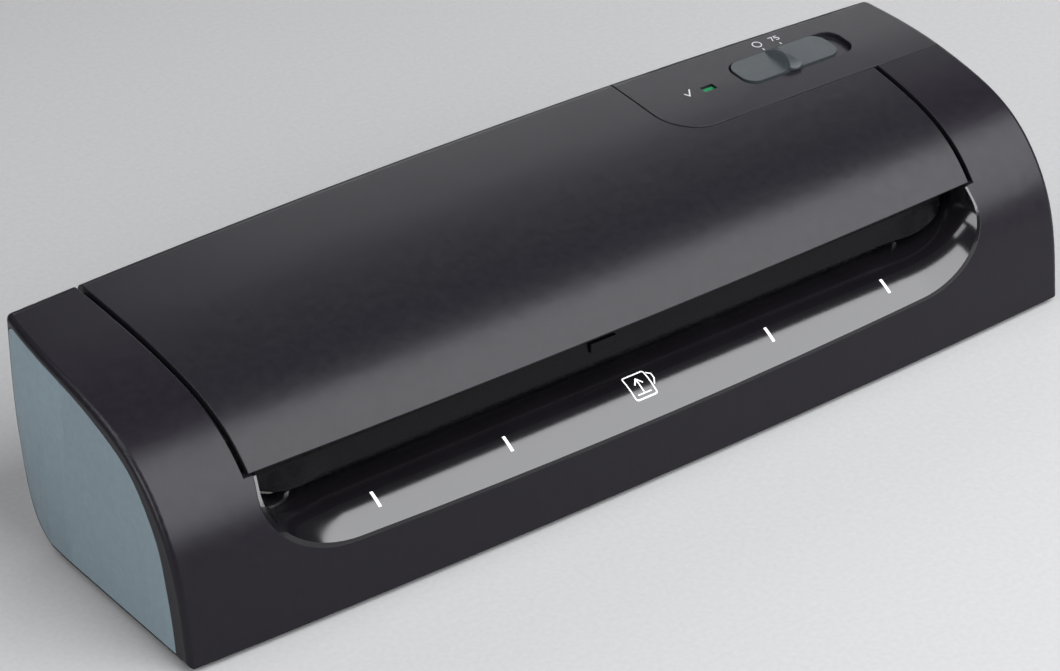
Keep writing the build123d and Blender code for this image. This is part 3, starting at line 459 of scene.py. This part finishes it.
def add_stroke(bm, surface, path, width, closed=False):
    """Adds one inked line to bm: a thin closed strip that follows the surface below it. Metres."""
    sections = []
    for left, right in stroke_sides(resampled(path, PRINT_STEP, closed), width, closed):
        corners = []
        for x, y in (left, right):
            hit, normal = surface.at(x, y)
            corners.append(bm.verts.new(hit + normal * PRINT_LIFT))
            corners.append(bm.verts.new(hit - normal * PRINT_ROOT))
        sections.append(corners)
    pairs = list(zip(sections, sections[1:] + sections[:1])) if closed else list(zip(sections, sections[1:]))
    for (top_l, low_l, top_r, low_r), (next_tl, next_ll, next_tr, next_lr) in pairs:
        bm.faces.new((top_l, top_r, next_tr, next_tl))
        bm.faces.new((low_l, next_ll, next_lr, low_r))
        bm.faces.new((top_l, next_tl, next_ll, low_l))
        bm.faces.new((top_r, low_r, next_lr, next_tr))
    if not closed:
        for corners in (sections[0], sections[-1]):
            top_l, low_l, top_r, low_r = corners
            bm.faces.new((top_l, low_l, low_r, top_r))


def add_print(name, node, strokes, material):
    """One printed mark on a CAD node: strokes are (path in mm, width in mm, closed)."""
    surface = Surface(node)
    bm = bmesh.new()
    for path, width, closed in strokes:
        add_stroke(bm, surface, [(x * MM, y * MM) for x, y in path], width * MM, closed)
    bmesh.ops.recalc_face_normals(bm, faces=bm.faces)
    mesh = bpy.data.meshes.new(name)
    bm.to_mesh(mesh)
    bm.free()
    mesh.materials.append(material)
    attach(add_object(name, mesh), "housing")


def circle(x, y, radius, count=28):
    angles = [2 * math.pi * i / count for i in range(count)]
    return [(x + radius * math.cos(a), y + radius * math.sin(a)) for a in angles]


def rounded_box(x0, y0, x1, y1, radius):
    points = []
    corners = ((x1 - radius, y1 - radius, 0), (x0 + radius, y1 - radius, 90),
               (x0 + radius, y0 + radius, 180), (x1 - radius, y0 + radius, 270))
    for x, y, start in corners:
        for i in range(4):
            angle = math.radians(start + 30 * i)
            points.append((x + radius * math.cos(angle), y + radius * math.sin(angle)))
    return points


GUIDE_TICKS = (-108.0, -55.5, 55.5, 108.0)     # mm; x of the pouch guides: A4 and photo widths
TICK_Y = (-47.4, -42.2)
TICK_WIDTH = 1.15
FINGER_RIB = 19.8                      # mm from the slider plate's left edge to its finger rib
SLIDE = 8.0                            # mm between the marks of the two switch positions
LEGEND_GAP = 5.6                       # mm from the slider plate to the middle of the signs behind it


def add_tray_print(ink):
    for i, x in enumerate(GUIDE_TICKS):
        tick = [(x, TICK_Y[0]), (x, TICK_Y[1])]
        add_print(f"guide_tick_{i + 1}", "entry_tray", [(tick, TICK_WIDTH, False)], ink)
    sheet = rounded_box(-4.4, -48.0, 4.4, -39.5, 0.8)
    behind = [(4.9, -40.6), (6.4, -41.6), (6.4, -43.4), (5.2, -45.2)]
    arrow = [(0.0, -46.2), (0.0, -41.6)]
    arrow_head = [(-1.7, -43.4), (0.0, -41.4), (1.7, -43.4)]
    edge = [(-2.8, -46.6), (2.8, -46.6)]
    strokes = [(sheet, 0.5, True), (behind, 0.45, False), (arrow, 0.5, False), (arrow_head, 0.5, False),
               (edge, 0.4, False)]
    add_print("pouch_pictogram", "entry_tray", strokes, ink)


def add_panel_print(ink):
    knob_low, knob_high = (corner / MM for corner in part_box("slider_knob"))
    lamp_low, lamp_high = (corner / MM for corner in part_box("light_pipe"))
    off_x = knob_low.x + FINGER_RIB
    on_x = off_x + SLIDE
    legend_y = knob_high.y + LEGEND_GAP
    add_print("off_ring", "control_panel", [(circle(off_x, legend_y, 1.7), 0.4, True)], ink)
    digit_half = 1.2
    seven = [(-1.7, 1.0), (-0.3, 1.0), (-1.2, -1.0)]
    five = [(1.5, 1.0), (0.5, 1.0), (0.4, 0.15), (1.1, 0.2),
            (1.5, -0.3), (1.4, -0.8), (0.9, -1.0), (0.3, -0.8)]
    number = [([(on_x + digit_half * x, legend_y + digit_half * y) for x, y in path], 0.36, False)
              for path in (seven, five)]
    add_print("thickness_number", "control_panel", number, ink)
    for name, x in (("off_mark", off_x), ("on_mark", on_x)):
        dash = [(x, legend_y - 4.4), (x, legend_y - 3.2)]
        add_print(name, "control_panel", [(dash, 0.42, False)], ink)
    lamp_x = lamp_low.x - 4.6
    lamp_y = (lamp_low.y + lamp_high.y) / 2 + 0.9
    tick = [(lamp_x - 1.5, lamp_y + 0.3), (lamp_x - 0.5, lamp_y - 1.7), (lamp_x + 2.0, lamp_y + 1.9)]
    add_print("ready_mark", "control_panel", [(tick, 0.5, False)], ink)


# ---------------------------------------------------------------- light and floor
MACHINE_MIDDLE = Vector((0, 0, 0.05))


def mirror_direction(lean):
    """Where a surface that leans forward by lean degrees from level mirrors the camera's view."""
    normal = Vector((0, -math.sin(math.radians(lean)), math.cos(math.radians(lean))))
    return LOOK - 2 * normal.dot(LOOK) * normal


def softbox(name, direction, distance, size, radiance, side=(1, 0, 0), shift=0.0):
    """A rectangular light; direction and distance are from the machine, and shift moves it along its width."""
    data = bpy.data.lights.new(name, "AREA")
    data.shape = "RECTANGLE"
    data.size, data.size_y = size
    data.energy = radiance * math.pi * size[0] * size[1]
    data.color = (0.96, 0.965, 1.0)
    side = Vector(side)
    outward = Vector(direction).normalized()
    facing = (outward - outward.dot(side) * side).normalized()
    turn = Matrix((side, facing.cross(side), facing)).transposed().to_4x4()
    light = add_object(name, data)
    light.matrix_world = Matrix.Translation(MACHINE_MIDDLE + outward * distance + side * shift) @ turn


def add_studio():
    """A dim room with a large softbox above the front, and smaller ones behind, overhead and at the left."""
    world = bpy.data.worlds.new("studio")
    world.use_nodes = True
    background = world.node_tree.nodes["Background"]
    background.inputs["Color"].default_value = (0.92, 0.95, 1.0, 1)
    background.inputs["Strength"].default_value = 0.08
    bpy.context.scene.world = world
    bpy.context.scene.view_settings.view_transform = "Standard"
    softbox("key softbox", mirror_direction(47.0), 1.25, (1.7, 1.2), 7.0)
    softbox("rear softbox", mirror_direction(-2), 1.7, (1.6, 0.4), 3.9, shift=0.5)
    softbox("bowl softbox", (-0.52, 0.19, 0.83), 1.3, (0.8, 0.6), 4.5)
    softbox("left softbox", (-1.0, -0.25, 0.45), 1.4, (0.9, 0.7), 5.6, side=(0, 1, 0))


def add_floor():
    mesh = bpy.data.meshes.new("floor")
    half = 8.0
    corners = [(-half, -half, 0), (half, -half, 0), (half, half, 0), (-half, half, 0)]
    mesh.from_pydata(corners, [], [(0, 1, 2, 3)])
    floor = add_object("floor", mesh)
    n = Nodes("floor paper")
    grain = n.noise(500, detail=3)
    n.mottle(n.remap(grain, 0, 1), (0.33, 0.33, 0.325), (0.35, 0.35, 0.345))
    n.set(Roughness=0.9, Specular_IOR_Level=0.1)
    mesh.materials.append(n.material)


add_camera()
materials = finishes()
finish_cad_nodes(materials)
round_edges()
ink = print_ink("printed white", (0.78, 0.78, 0.78))
grey_ink = print_ink("printed grey", (0.42, 0.42, 0.43))
add_tray(materials["tray_gloss"])
add_springs(materials["spring_steel"])
add_tray_print(ink)
add_panel_print(grey_ink)
add_floor()
add_studio()
